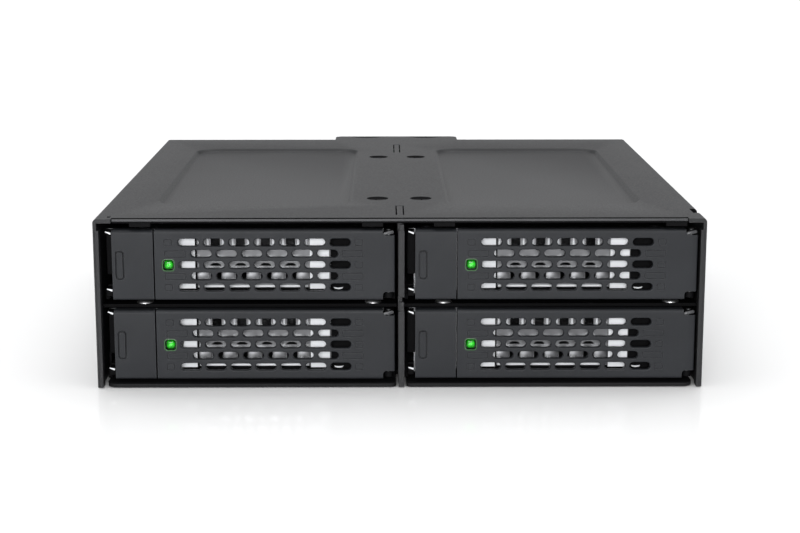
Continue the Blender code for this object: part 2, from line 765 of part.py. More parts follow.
def make_light(parent):
    """The lens that ends flush with the lever's face."""
    half = LIGHT_SIZE / 2
    middle = TRAY_H / 2
    bm = bmesh.new()
    outline = rounded_rectangle((LIGHT_X - half, middle - half), (LIGHT_X + half, middle + half), 0.5, 2)
    add_prism(bm, outline, 0.1, FACE_T - 0.1, "Y")
    return make_object("status_light", bm, LIGHT, (LIGHT_X, 0, middle), parent)


def make_drive(parent):
    """A bare 2.5 inch drive, with a raised lid and a plug end."""
    width, length, height = DRIVE_SIZE
    middle = (SLED_LEFT + SLED_RIGHT) / 2
    left, right = middle - width / 2, middle + width / 2
    bm = bmesh.new()
    outline = rounded_rectangle((left, DRIVE_Y), (right, DRIVE_Y + length), 2.0, 2)
    add_prism(bm, outline, DRIVE_Z, DRIVE_Z + height - 0.6)
    drive = make_object("drive", bm, DRIVE, parent=parent)
    bm = bmesh.new()
    outline = rounded_rectangle((left + 2.5, DRIVE_Y + 2.5), (right - 2.5, DRIVE_Y + length - 8), 4.0, 2)
    add_prism(bm, outline, DRIVE_Z + 1, DRIVE_Z + height)
    combine(drive, bm, "UNION", parent)
    bm = bmesh.new()
    end = DRIVE_Y + length
    add_box(bm, (middle - 14.5, end - 5, DRIVE_Z - 1), (middle + 20.5, end + 1, DRIVE_Z + 1.6))
    combine(drive, bm, "DIFFERENCE", parent)
    return drive


def make_tray_masters():
    """One of each tray piece, at the lower left."""
    holder = bpy.data.objects.new("tray_lower_left", None)
    holder.location = Vector((TRAY_X, FRONT + TRAY_SETBACK, TRAY_Z)) * MM
    PARTS.objects.link(holder)
    makers = (make_sled, make_drive, make_lever, make_latch, make_hinge_pin, make_light)
    masters = [maker(holder) for maker in makers]
    bpy.context.view_layer.update()
    return holder, [bake(master) for master in masters]


def make_trays():
    first, masters = make_tray_masters()
    for place, (column, row) in PLACES.items():
        if (column, row) != (0, 0):
            holder = bpy.data.objects.new(f"tray_{place}", None)
            offset = Vector((TRAY_PITCH_X * column, 0, TRAY_PITCH_Z * row)) * MM
            holder.location = first.location + offset
            PARTS.objects.link(holder)
            for master in masters:
                copy_of(master, f"{master.name}_{place}", holder)
    for master in masters:
        master.name = f"{master.name}_lower_left"


def make_connectors():
    middle = (SLED_LEFT + SLED_RIGHT) / 2
    for place, (column, row) in PLACES.items():
        x = TRAY_X + TRAY_PITCH_X * column + middle + 3.0
        z = TRAY_Z + TRAY_PITCH_Z * row + DRIVE_Z + 2.7
        make_drive_connector(f"drive_connector_{place}", x, z)


def main():
    make_top_cover()
    make_front_lip()
    make_base_pan()
    make_divider()
    make_shelf("shelf_left", -1)
    make_shelf("shelf_right", 1)
    make_rear_panel()
    make_backplane()
    for port in port_places():
        make_port(*port)
    make_connectors()
    make_fan_housing()
    make_fan_rotor()
    make_screws()
    make_trays()
    for obj in PARTS.objects:
        if obj.type == "MESH":
            smooth(obj)


main()
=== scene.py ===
"""The looks of the four-tray drive enclosure: fine meshes, materials, studio light and the camera."""

import math

import bmesh
import bpy
from mathutils import Matrix, Vector


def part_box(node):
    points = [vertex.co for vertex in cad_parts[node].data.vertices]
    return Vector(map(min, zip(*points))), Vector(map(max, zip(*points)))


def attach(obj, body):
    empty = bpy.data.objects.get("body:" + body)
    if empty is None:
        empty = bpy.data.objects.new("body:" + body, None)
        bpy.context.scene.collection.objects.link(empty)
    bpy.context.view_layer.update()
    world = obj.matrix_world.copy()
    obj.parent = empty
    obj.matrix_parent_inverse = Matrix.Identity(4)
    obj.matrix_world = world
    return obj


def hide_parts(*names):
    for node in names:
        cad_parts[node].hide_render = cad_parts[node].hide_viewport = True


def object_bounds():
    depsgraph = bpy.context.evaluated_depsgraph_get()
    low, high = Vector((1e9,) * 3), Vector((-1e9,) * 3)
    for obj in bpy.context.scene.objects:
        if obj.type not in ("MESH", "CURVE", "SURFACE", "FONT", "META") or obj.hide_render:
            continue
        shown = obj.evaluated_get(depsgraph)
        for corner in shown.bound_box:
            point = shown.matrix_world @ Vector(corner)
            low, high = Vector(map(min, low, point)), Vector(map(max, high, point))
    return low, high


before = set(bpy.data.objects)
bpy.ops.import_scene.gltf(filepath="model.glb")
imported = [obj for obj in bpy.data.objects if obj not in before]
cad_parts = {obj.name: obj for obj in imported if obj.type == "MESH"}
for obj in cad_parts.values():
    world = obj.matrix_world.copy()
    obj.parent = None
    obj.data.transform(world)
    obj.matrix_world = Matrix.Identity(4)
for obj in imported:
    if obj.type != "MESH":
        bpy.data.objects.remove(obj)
CAD_LOW, CAD_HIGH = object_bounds()
MM = 0.001
PLACES = ("upper_left", "upper_right", "lower_left", "lower_right")

# Sizes in millimetres. The case stands on z = 0 and its front faces -Y.
FRONT = CAD_LOW.y / MM
HALF_W = CAD_HIGH.x / MM
TOP = CAD_HIGH.z / MM
CASE_D = 145.0
REAR = FRONT + CASE_D
TOP_T = 1.0
LIP_HALF = 68.4
HEM_TOP = 38.5

# A tray, from the lower left front corner of its face. Its sheet wall stands WALL_Y behind there.
TRAY_W = 67.5
TRAY_H = 17.0
MIDDLE = TRAY_H / 2
FACE_T = 3.0
SKIN_T = 1.4
WALL_Y = 4.4
LATCH_W = 9.8
SEAM = 0.35
NOTCH_W, NOTCH_TOP, NOTCH_BOTTOM = 2.9, 1.4, 1.9
HINGE_R = FACE_T / 2
HINGE_X = TRAY_W - HINGE_R
LIGHT_X = 13.4

# The vents: one slot's size, the first slot's place, and the steps along and between the rows
SLOT_W, SLOT_H = 4.95, 1.84
SLOT_X = 18.24
SLOT_DX, SLOT_DZ = 6.03, 2.74

# The top's screws: their distance from the middle, and shares of the case's depth.
# A cross recess, here and at the fan, has bars twice CROSS_HALF wide.
SCREW_X = 5.5
SCREW_SHARES = (0.207, 0.727)
CROSS_HALF = 0.24


# Node materials


def new_material(name):
    material = bpy.data.materials.new(name)
    material.use_nodes = True
    tree = material.node_tree
    return material, tree, tree.nodes["Principled BSDF"]


def node(tree, kind, **values):
    made = tree.nodes.new(kind)
    for key, value in values.items():
        setattr(made, key, value)
    return made


def noise(tree, scale, detail=3.0, roughness=0.55, stretch=None):
    """Noise in the object's own coordinates, so that it rides with the piece. Scale is per metre."""
    place = node(tree, "ShaderNodeTexCoord").outputs["Object"]
    if stretch:
        mapping = node(tree, "ShaderNodeMapping")
        mapping.inputs["Scale"].default_value = stretch
        tree.links.new(place, mapping.inputs["Vector"])
        place = mapping.outputs["Vector"]
    texture = node(tree, "ShaderNodeTexNoise")
    texture.inputs["Scale"].default_value = scale
    texture.inputs["Detail"].default_value = detail
    texture.inputs["Roughness"].default_value = roughness
    tree.links.new(place, texture.inputs["Vector"])
    return texture.outputs["Fac"]


def spread(tree, value, low, high, to_low, to_high):
    """The value's range from low to high turned into another range."""
    ramp = node(tree, "ShaderNodeMapRange")
    ramp.inputs["From Min"].default_value = low
    ramp.inputs["From Max"].default_value = high
    ramp.inputs["To Min"].default_value = to_low
    ramp.inputs["To Max"].default_value = to_high
    tree.links.new(value, ramp.inputs["Value"])
    return ramp.outputs["Result"]


def blend_colours(tree, factor, first, second):
    mix = node(tree, "ShaderNodeMix", data_type="RGBA")
    mix.inputs["A"].default_value = (*first, 1.0)
    mix.inputs["B"].default_value = (*second, 1.0)
    tree.links.new(factor, mix.inputs["Factor"])
    return mix.outputs["Result"]


def rounded_normal(tree, radius):
    """The surface's direction as if its edges were rounded by the radius, in metres."""
    bevel = node(tree, "ShaderNodeBevel", samples=4)
    bevel.inputs["Radius"].default_value = radius
    return bevel.outputs["Normal"]


def edge_mask(tree, rounded):
    """0 on flat faces and up to 1 where a rounded normal leans away from the true one, at an edge."""
    geometry = node(tree, "ShaderNodeNewGeometry")
    dot = node(tree, "ShaderNodeVectorMath", operation="DOT_PRODUCT")
    tree.links.new(rounded, dot.inputs[0])
    tree.links.new(geometry.outputs["Normal"], dot.inputs[1])
    return spread(tree, dot.outputs["Value"], 1.0, 0.75, 0.0, 1.0)


def add_bump(tree, shader, height, rounded, strength, distance):
    bumped = node(tree, "ShaderNodeBump")
    bumped.inputs["Strength"].default_value = strength
    bumped.inputs["Distance"].default_value = distance
    tree.links.new(height, bumped.inputs["Height"])
    tree.links.new(rounded, bumped.inputs["Normal"])
    tree.links.new(bumped.outputs["Normal"], shader.inputs["Normal"])


def surface(
    name,
    colour,
    edge_highlight_colour,
    roughness,
    bump,
    grain=2600.0,
    edge=0.00025,
    metallic=0.0,
    blotch=0.12,
    specular=0.5,
):
    """A fine-grained finish: colour that drifts a little, a grain in bump and roughness, and edges painted
    lighter as a painted highlight.
    """
    material, tree, shader = new_material(name)
    shader.inputs["Metallic"].default_value = metallic
    shader.inputs["Specular IOR Level"].default_value = specular
    drift = spread(tree, noise(tree, 45.0, 4.0), 0.35, 0.65, 0.0, 1.0)
    darker = tuple(c * (1 - blotch) for c in colour)
    lighter = tuple(min(1.0, c * (1 + blotch)) for c in colour)
    rounded = rounded_normal(tree, edge)
    # Every rounded edge is mixed towards the lighter edge colour: a painted highlight.
    edge_highlight = node(tree, "ShaderNodeMix", data_type="RGBA")
    edge_highlight.inputs["B"].default_value = (*edge_highlight_colour, 1.0)
    tree.links.new(edge_mask(tree, rounded), edge_highlight.inputs["Factor"])
    tree.links.new(blend_colours(tree, drift, darker, lighter), edge_highlight.inputs["A"])
    tree.links.new(edge_highlight.outputs["Result"], shader.inputs["Base Color"])
    fine = noise(tree, grain, 2.0, 0.6)
    rough = spread(tree, fine, 0.3, 0.7, roughness * 0.88, roughness * 1.12)
    tree.links.new(rough, shader.inputs["Roughness"])
    add_bump(tree, shader, fine, rounded, bump, 0.00006)
    return material


def brushed(name, colour, roughness, stretch):
    """Bare or plated metal with fine lines along one direction."""
    material, tree, shader = new_material(name)
    shader.inputs["Metallic"].default_value = 1.0
    stain = noise(tree, 60.0, 3.0)
    darker = tuple(c * 0.86 for c in colour)
    tree.links.new(blend_colours(tree, stain, darker, colour), shader.inputs["Base Color"])
    lines = noise(tree, 700.0, 4.0, 0.6, stretch)
    rough = spread(tree, lines, 0.25, 0.75, roughness * 0.8, roughness * 1.25)
    tree.links.new(rough, shader.inputs["Roughness"])
    add_bump(tree, shader, lines, rounded_normal(tree, 0.00015), 0.12, 0.00004)
    return material


def light_material():
    """The lit lens: bright in the middle and deep green at its rim."""
    material, tree, shader = new_material("lit_lens")
    shader.inputs["Roughness"].default_value = 0.15
    shader.inputs["Specular IOR Level"].default_value = 0.4
    where = node(tree, "ShaderNodeTexCoord")
    length = node(tree, "ShaderNodeVectorMath", operation="LENGTH")
    tree.links.new(where.outputs["Object"], length.inputs[0])
    flicker = noise(tree, 1400.0, 2.0)
    rim, core = 0.0013, 0.0003
    glow = spread(tree, length.outputs["Value"], rim, core, 0.0, 1.0)
    uneven = node(tree, "ShaderNodeMath", operation="MULTIPLY")
    tree.links.new(glow, uneven.inputs[0])
    tree.links.new(spread(tree, flicker, 0.35, 0.65, 0.3, 1.5), uneven.inputs[1])
    deep, bright = (0.0, 0.04, 0.001), (0.015, 0.45, 0.01)
    colour = blend_colours(tree, uneven.outputs["Value"], deep, bright)
    tree.links.new(colour, shader.inputs["Base Color"])
    tree.links.new(colour, shader.inputs["Emission Color"])
    shader.inputs["Emission Strength"].default_value = 0.7
    return material


def glow_material():
    """The collar's dark green, with a faint emission as a painted glow of the lens's light."""
    material = surface("glow_rim", (0.012, 0.03, 0.012), (0.02, 0.06, 0.02), 0.4, 0.2, 2400.0, 0.0001)
    shader = material.node_tree.nodes["Principled BSDF"]
    # The collar is no lamp: this emission is painted glow.
    shader.inputs["Emission Color"].default_value = (0.01, 0.12, 0.008, 1.0)
    shader.inputs["Emission Strength"].default_value = 0.6
    return material


# The second colour of each finish below is its painted highlight along rounded edges.
COATED = surface("coated_steel", (0.0155, 0.0159, 0.0172), (0.05, 0.05, 0.053), 0.46, 0.3, specular=0.25)
# The lip's steel is a lighter copy of the coated steel: a painted highlight along the rolled edge.
LIP_HIGHLIGHT = surface(
    "lip_steel_painted_highlight", (0.038, 0.039, 0.042), (0.1, 0.1, 0.105), 0.4, 0.2, edge=0.0002, specular=0.35
)
SHADED = surface("shaded_steel", (0.009, 0.0092, 0.01), (0.02, 0.02, 0.021), 0.5, 0.3, specular=0.12)
RUBBED = surface("rubbed_steel", (0.66, 0.66, 0.67), (0.8, 0.8, 0.8), 0.36, 0.1, metallic=1.0)
# Near-black finish for faces, strips and sheets that lie in shade: painted shade.
PAINTED_SHADE = surface("painted_shade_black", (0.003, 0.003, 0.0035), (0.006, 0.006, 0.006), 0.6, 0.2, specular=0.06)
FACE = surface(
    "tray_face", (0.015, 0.0163, 0.019), (0.085, 0.088, 0.094), 0.5, 0.35, 3200.0, 0.00018, specular=0.22
)
PLASTIC = surface("black_plastic", (0.01, 0.01, 0.0112), (0.03, 0.03, 0.032), 0.42, 0.2, 2400.0, specular=0.3)
SCREW_BLACK = surface(
    "black_oxide", (0.005, 0.005, 0.006), (0.03, 0.03, 0.031), 0.5, 0.2, 3000.0, 0.00012, specular=0.06
)
CAM_GREY = surface(
    "cam_metal",
    (0.035, 0.036, 0.039),
    (0.16, 0.16, 0.165),
    0.4,
    0.3,
    2000.0,
    0.0002,
    metallic=0.2,
    blotch=0.3,
)
PLATED = brushed("plated_steel", (0.21, 0.213, 0.222), 0.42, (1.0, 12.0, 12.0))
# Bare steel seen through the slots is coloured white: a painted reflection of the front light.
REFLECTION_WHITE = surface(
    "white_painted_reflection", (0.91, 0.93, 0.96), (0.97, 0.98, 0.99), 0.35, 0.1, 1500.0, 0.0001, blotch=0.04
)
DRIVE_METAL = surface(
    "cast_metal", (0.05, 0.051, 0.054), (0.16, 0.16, 0.165), 0.42, 0.4, 2200.0, 0.0002, metallic=0.6
)
LID_METAL = brushed("drive_lid", (0.42, 0.425, 0.44), 0.33, (10.0, 1.0, 10.0))
BOARD = surface("solder_mask", (0.012, 0.05, 0.03), (0.04, 0.1, 0.06), 0.35, 0.4, 900.0, 0.0001, blotch=0.3)
GOLD = brushed("gold_contact", (0.83, 0.6, 0.25), 0.25, (1.0, 1.0, 8.0))
LIT = light_material()
GLOW_RIM = glow_material()


def assign(obj, material):
    obj.data.materials.clear()
    obj.data.materials.append(material)


# Mesh helpers. Each takes millimetres.


def add_box(bm, low, high):
    low, high = Vector(low), Vector(high)
    placed = Matrix.Translation((low + high) / 2) @ Matrix.Diagonal((*(high - low), 1.0))
    bmesh.ops.create_cube(bm, size=1.0, matrix=placed)


def add_cylinder(bm, centre, radius, length, axis="Z", sides=32, end_radius=None):
    turn = Matrix.Identity(4)
    if axis == "X":
        turn = Matrix.Rotation(math.pi / 2, 4, "Y")
    if axis == "Y":
        turn = Matrix.Rotation(-math.pi / 2, 4, "X")
    bmesh.ops.create_cone(
        bm,
        cap_ends=True,
        segments=sides,
        radius1=radius,
        radius2=radius if end_radius is None else end_radius,
        depth=length,
        matrix=Matrix.Translation(Vector(centre)) @ turn,
    )


def new_loop(bm, outline, level, axis="Z"):
    """The outline's points as vertices on a plane across an axis."""
    if axis == "Z":
        return [bm.verts.new((a, b, level)) for a, b in outline]
    if axis == "Y":
        return [bm.verts.new((a, level, b)) for a, b in outline]
    return [bm.verts.new((level, a, b)) for a, b in outline]


def bridge(bm, loops, ring=False):
    """A closed skin over loops of the same length, capped at both ends or joined into a ring."""
    count = len(loops[0])
    following = loops[1:] + loops[:1] if ring else loops[1:]
    for first, second in zip(loops, following):
        for i in range(count):
            j = (i + 1) % count
            bm.faces.new((first[i], first[j], second[j], second[i]))
    if not ring:
        bm.faces.new(loops[0])
        bm.faces.new(loops[-1])


def add_prism(bm, outline, low, high, axis="Z"):
    """A closed prism of the outline between two levels of an axis."""
    bridge(bm, [new_loop(bm, outline, level, axis) for level in (low, high)])


def arc(centre, radius, start, end, steps):
    angles = [math.radians(start + (end - start) * i / steps) for i in range(steps + 1)]
    return [(centre[0] + radius * math.cos(a), centre[1] + radius * math.sin(a)) for a in angles]


def rounded_rectangle(low, high, radius, steps=5):
    (x0, y0), (x1, y1) = low, high
    return (
        arc((x1 - radius, y0 + radius), radius, -90, 0, steps)
        + arc((x1 - radius, y1 - radius), radius, 0, 90, steps)
        + arc((x0 + radius, y1 - radius), radius, 90, 180, steps)
        + arc((x0 + radius, y0 + radius), radius, 180, 270, steps)
    )


def oblong(centre, width, height, grow=0.0, steps=7):
    x, z = centre
    radius = min(width, height) / 2 - 0.001 + grow
    half_w, half_h = width / 2 + grow, height / 2 + grow
    return rounded_rectangle((x - half_w, z - half_h), (x + half_w, z + half_h), radius, steps)


def make_mesh(name, bm, offset=(0, 0, 0)):
    bmesh.ops.recalc_face_normals(bm, faces=bm.faces)
    bmesh.ops.translate(bm, vec=-Vector(offset), verts=bm.verts)
    bmesh.ops.scale(bm, vec=(MM, MM, MM), verts=bm.verts)
    mesh = bpy.data.meshes.new(name)
    bm.to_mesh(mesh)
    bm.free()
    return mesh


def add_object(name, data):
    obj = bpy.data.objects.new(name, data)
    bpy.context.scene.collection.objects.link(obj)
    return obj


def make_piece(name, bm, material, pivot=(0, 0, 0), origin=(0, 0, 0)):
    """A piece whose mesh is given from an origin, with its own origin at the pivot there."""
    obj = add_object(name, make_mesh(name, bm, pivot))
    obj.location = (Vector(origin) + Vector(pivot)) * MM
    obj["pivot"] = tuple(pivot)
    assign(obj, material)
    return obj


def declare(obj, body, slot, replaced=None):
    """States the body that a piece rides on, and the CAD node it is seen instead of. The slot is not used."""
    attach(obj, body)
    if replaced:
        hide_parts(replaced)


def settle(obj):
    """Applies the object's modifiers."""
    bpy.context.view_layer.update()
    graph = bpy.context.evaluated_depsgraph_get()
    mesh = bpy.data.meshes.new_from_object(obj.evaluated_get(graph))
    mesh.name = obj.name
    obj.modifiers.clear()
    obj.data = mesh


def cut(obj, bm, operation="DIFFERENCE"):
    """Takes the mesh away from the object, or joins it, and keeps the result."""
    mesh = make_mesh("tool", bm, obj["pivot"])
    tool = add_object("tool", mesh)
    tool.location = obj.location
    modifier = obj.modifiers.new("cut", "BOOLEAN")
    modifier.operation = operation
    modifier.solver = "EXACT"
    modifier.object = tool
    settle(obj)
    bpy.data.objects.remove(tool)
    bpy.data.meshes.remove(mesh)


def cut_cross(screw, centre, arm, depth, axis, angle):
    """A cross recess in the screw's head, turned by an angle about its axis."""
    for half_a, half_b in ((arm, CROSS_HALF), (CROSS_HALF, arm)):
        low, high = Vector((-half_a, -half_b, -depth)), Vector((half_a, half_b, 1))
        if axis == "Y":
            low, high = low.xzy, high.xzy
        bm = bmesh.new()
        add_box(bm, Vector(centre) + low, Vector(centre) + high)
        bmesh.ops.rotate(bm, cent=centre, matrix=Matrix.Rotation(angle, 3, axis), verts=bm.verts)
        cut(screw, bm)


def smooth(obj, angle=40):
    """Shades the piece smooth, except over edges sharper than the angle."""
    obj.data.shade_smooth()
    obj.data.set_sharp_from_angle(angle=math.radians(angle))


def soften(obj, width, angle=35):
    """Rounds the edges sharper than the angle and shades the piece smooth."""
    bevel = obj.modifiers.new("soft_edges", "BEVEL")
    bevel.width = width * MM
    bevel.segments = 2
    bevel.limit_method = "ANGLE"
    bevel.angle_limit = math.radians(angle)
    bevel.harden_normals = True
    bevel.miter_outer = "MITER_ARC"
    settle(obj)
    smooth(obj)


def node_box(name):
    """The lowest and the highest corner of a CAD node, in millimetres."""
    low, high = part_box(name)
    return Vector(low) / MM, Vector(high) / MM


def tray_origin(place):
    """The lower left front corner of a tray's face."""
    return node_box(f"latch_button_{place}")[0]


def spread_on_trays(master, stem, body, slot, node_stem=None):
    """Puts a copy of a piece, made in the tray's own frame, on each tray and removes the original."""
    for place in PLACES:
        obj = add_object(f"{stem}_{place}", master.data)
        obj.location = Vector(master["pivot"]) * MM + tray_origin(place) * MM
        declare(obj, f"{body}_{place}", slot, f"{node_stem}_{place}" if node_stem else None)
    bpy.data.objects.remove(master)


# Tray faces


def slot_places():
    for row in range(-2, 3):
        shifted = row % 2
        for i in range(6 if shifted else 7):
            yield SLOT_X + SLOT_DX * (i + shifted / 2), MIDDLE + row * SLOT_DZ


def blind_marks():
    """Centre, width and height of the shallow marks that carry the slot pattern on at both ends."""
    short, long, height = 1.8, 4.9, 1.5
    marks = [(LIGHT_X, row, short) for row in (-2, 2)]
    marks += [(58.9, row, short) for row in (-2, 0, 2)]
    marks += [(x, row, long) for row in (-1, 1) for x in (15.1, 57.4)]
    return [((x, MIDDLE + row * SLOT_DZ), width, height) for x, row, width in marks]


def face_block(left, right, hinged):
    """The solid of a face, softly rounded along its top and less along its bottom."""
    outline = [(left, FACE_T), (left, 0)]
    if hinged:
        corner = 0.35
        outline += arc((right - corner, corner), corner, -90, 0, 4)
        outline += arc((HINGE_X, HINGE_R), HINGE_R, 0, 90, 8)
    else:
        outline += [(right, 0), (right, FACE_T)]
    bm = bmesh.new()
    add_prism(bm, outline, 0, TRAY_H)
    bmesh.ops.recalc_face_normals(bm, faces=bm.faces)
    near = 1e-4
    for level, radius in ((0.0, 0.55), (TRAY_H, 0.85)):
        edges = [e for e in bm.edges if all(v.co.y < near and abs(v.co.z - level) < near for v in e.verts)]
        bmesh.ops.bevel(bm, geom=edges, offset=radius, segments=7, affect="EDGES", profile=0.5)
    return bm


def hole_cutter(bm, centre, width, height, depth, flare):
    """One closed cutter: straight above the face, a chamfer, then straight to its depth."""
    steps = [(-0.4, flare), (0.0, flare), (flare * 0.45, flare * 0.35), (flare, 0.0), (depth, 0.0)]
    bridge(bm, [new_loop(bm, oblong(centre, width, height, grow), level, "Y") for level, grow in steps])


def groove_ring(bm, centre, width, height, groove, depth, corner):
    """A closed ring that cuts a narrow groove round an outline."""
    x, z = centre
    above = -0.4
    loops = []
    for grow, levels in ((groove / 2, (above, depth)), (-groove / 2, (depth, above))):
        half_w, half_h = width / 2 + grow, height / 2 + grow
        outline = rounded_rectangle((x - half_w, z - half_h), (x + half_w, z + half_h), corner + grow)
        loops += [new_loop(bm, outline, level, "Y") for level in levels]
    bridge(bm, loops, ring=True)


def light_square(half, corner):
    """A rounded square about the status light's middle."""
    return rounded_rectangle((LIGHT_X - half, MIDDLE - half), (LIGHT_X + half, MIDDLE + half), corner)


def notch_outlines():
    """The lower and the upper notch at the lever's hinged end, each with one round corner."""
    left, right, corner = TRAY_W - NOTCH_W, TRAY_W + 1, 0.8
    low = arc((left + corner, NOTCH_BOTTOM - corner), corner, 180, 90, 4)
    low += [(right, NOTCH_BOTTOM), (right, -1), (left, -1)]
    edge = TRAY_H - NOTCH_TOP
    high = [(left, TRAY_H + 1), (right, TRAY_H + 1), (right, edge)]
    high += arc((left + corner, edge + corner), corner, -90, -180, 4)
    return low, high


def lever_cutters():
    """The hollow behind the skin, the slots, the marks, the light's window, the notches and the bore."""
    rim = 1.2
    bm = bmesh.new()
    add_box(bm, (LATCH_W + SEAM + 1.6, SKIN_T, rim), (TRAY_W - 3.6, FACE_T + 1, TRAY_H - rim))
    yield bm
    bm = bmesh.new()
    for centre in slot_places():
        hole_cutter(bm, centre, SLOT_W, SLOT_H, FACE_T + 1, 0.22)
    yield bm
    bm = bmesh.new()
    for centre, width, height in blind_marks():
        groove_ring(bm, centre, width, height, 0.24, 0.3, 0.35)
    yield bm
    bm = bmesh.new()
    add_prism(bm, light_square(1.3, 0.55), -1, FACE_T + 1, "Y")
    yield bm
    bm = bmesh.new()
    for outline in notch_outlines():
        add_prism(bm, outline, -1, FACE_T + 1, "Y")
    yield bm
    bm = bmesh.new()
    add_cylinder(bm, (HINGE_X, HINGE_R, MIDDLE), 0.7, TRAY_H + 4, "Z", 20)
    yield bm


def make_levers():
    """The vented face of each tray, hinged at its right end."""
    block = face_block(LATCH_W + SEAM, TRAY_W, True)
    lever = make_piece("lever_master", block, FACE, (HINGE_X, HINGE_R, MIDDLE))
    for cutter in lever_cutters():
        cut(lever, cutter)
    smooth(lever, 32)
    spread_on_trays(lever, "vented_lever", "lever", "tray_face", "release_lever")


def make_latches():
    """The press button, with its upright oblong mark in front and a round stem behind."""
    pivot = (LATCH_W / 2, 0, MIDDLE)
    latch = make_piece("latch_master", face_block(0, LATCH_W, False), FACE, pivot)
    bm = bmesh.new()
    groove_ring(bm, (1.85, MIDDLE), 1.75, 6.65, 0.48, 0.8, 0.62)
    cut(latch, bm)
    bm = bmesh.new()
    add_cylinder(bm, (pivot[0], FACE_T + 2.8, MIDDLE), 1.3, 6.4, "Y", 24)
    cut(latch, bm, "UNION")
    smooth(latch, 32)
    spread_on_trays(latch, "release_button", "latch", "tray_face", "latch_button")


def make_status_lights():
    """A domed lens, and a thin collar round it that glows green with painted light from the lens."""
    pivot = (LIGHT_X, 0.6, MIDDLE)
    bm = bmesh.new()
    dome = [(2.4, 1.05), (0.75, 1.05), (0.5, 1.0), (0.35, 0.85), (0.25, 0.6), (0.22, 0.3)]
    bridge(bm, [new_loop(bm, light_square(half, half * 0.6), level, "Y") for level, half in dome])
    lens = make_piece("lens_master", bm, LIT, pivot)
    smooth(lens, 60)
    spread_on_trays(lens, "lit_lens", "lever", "status_light", "status_light")
    bm = bmesh.new()
    section = ((0.12, 1.28), (-0.02, 1.3), (-0.03, 1.42), (0.02, 1.55))
    loops = [new_loop(bm, light_square(half, half * 0.5), level, "Y") for level, half in section]
    bridge(bm, loops, ring=True)
    collar = make_piece("collar_master", bm, GLOW_RIM, pivot)
    smooth(collar, 60)
    spread_on_trays(collar, "lens_collar", "lever", "status_light")


def make_sleds():
    """The sheet body of each tray, with painted shade at its front end."""
    front_y, left_x, right_x, floor_z = 5.3, -0.2, 64.7, 1.5
    for place in PLACES:
        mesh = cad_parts[f"tray_sled_{place}"].data.copy()
        mesh.materials.clear()
        for material in (PLATED, PAINTED_SHADE):
            mesh.materials.append(material)
        origin = tray_origin(place)
        for polygon in mesh.polygons:
            x, y, z = polygon.center / MM - origin
            # Faces at the front end, beside and under the face, take the near-black finish: painted shade.
            dark = y < front_y and (x < left_x or x > right_x or z < floor_z)
            polygon.material_index = 1 if dark else 0
        sled = add_object(f"sheet_sled_{place}", mesh)
        declare(sled, f"tray_{place}", "plated_steel", f"tray_sled_{place}")


def make_plates():
    """Two upright plates behind the slots of each lever, white as a painted reflection of their bare steel.
    The left one has a bite out of its side.
    """
    front, back = 3.3, 3.65
    low, high = 2.1, 16.0
    left, right = 14.6, 19.45
    outline = [(left, low), (right, low), (right, high), (left, high)]
    outline += [(left, 8.9), (16.3, 8.9), (16.1, 6.7), (left, 6.7)]
    bm = bmesh.new()
    add_prism(bm, outline, front, back, "Y")
    add_box(bm, (47.05, front, 2.0), (51.7, back, high))
    plates = make_piece("plate_master", bm, REFLECTION_WHITE)
    smooth(plates)
    spread_on_trays(plates, "bright_plates", "tray", "plated_steel")


def make_ribs():
    """Ribs and a rolled edge in front of the sheet wall, a sliver, and hooks beside the face, all white as
    painted highlights.
    """
    bm = bmesh.new()
    rib_y, rib_z = WALL_Y - 0.05, 13.3
    windows = [SLOT_X + SLOT_DX * i for i in range(1, 5)]
    rib_places = [x + aside for x in windows for aside in (-1.8, 1.9)] + [20.4, 46.2]
    for x in rib_places:
        add_cylinder(bm, (x, rib_y, rib_z), 0.3, 3.4, "Z", 12)
    add_cylinder(bm, (33.3, WALL_Y - 0.3, 2.5), 0.32, 26.4, "X", 14)
    sliver = [(52.7 + 0.23 * i, 2.35 - 0.14 * (1 - (i / 5 - 1) ** 2)) for i in range(11)]
    sliver += [(55.0 - 0.23 * i, 2.35 - 0.5 * math.sqrt(1 - (i / 5.2 - 0.96) ** 2)) for i in range(1, 10)]
    add_prism(bm, sliver, 3.4, 3.7, "Y")
    x = -1.0
    for z, drop in ((16.1, 0.28), (2.2, 0.2)):
        hook = [(x - 0.62, z - 0.12 + drop), (x + 0.6, z - 0.28 - drop / 2), (x + 0.66, z + 0.16 - drop / 2)]
        hook += [(x + 0.25, z + 0.2 - drop / 4), (x - 0.62, z + 0.12 + drop)]
        add_prism(bm, hook, 1.3, 1.6, "Y")
    ribs = make_piece("rib_master", bm, REFLECTION_WHITE)
    smooth(ribs)
    spread_on_trays(ribs, "bright_ribs", "tray", "plated_steel")


def make_wall_pads():
    """Small raised plates along the sheet wall, behind the lower slots."""
    half, low, high = 1.65, 3.2, 6.15
    bm = bmesh.new()
    for x in [SLOT_X + SLOT_DX * (i + 0.5) for i in range(5)]:
        outline = rounded_rectangle((x - half, low), (x + half, high), 0.25, 3)
        add_prism(bm, outline, WALL_Y - 0.22, WALL_Y - 0.01, "Y")
    pads = make_piece("pad_master", bm, PLATED)
    soften(pads, 0.08)
    spread_on_trays(pads, "wall_pads", "tray", "plated_steel")


def make_dark_covers():
    """Dark sheets beside and between the bright plates, and one beside the face, put there as painted shade.
    """
    back, low, high = WALL_Y - 0.02, 0.9, 16.2
    bm = bmesh.new()
    add_box(bm, (19.47, 3.5, low), (19.8, back, high))
    add_box(bm, (52.0, 4.0, low), (63.4, back, high))
    add_box(bm, (-1.85, WALL_Y - 0.12, 5.5), (0.6, back, 15.7))
    add_box(bm, (19.9, WALL_Y - 0.35, 0.3), (46.6, WALL_Y - 0.1, 2.2))
    add_box(bm, (55.0, 3.7, 11.0), (57.4, 3.9, 15.4))
    covers = make_piece("shade_sheet_master", bm, PAINTED_SHADE)
    smooth(covers)
    spread_on_trays(covers, "painted_shade_sheets", "tray", "black_plastic")


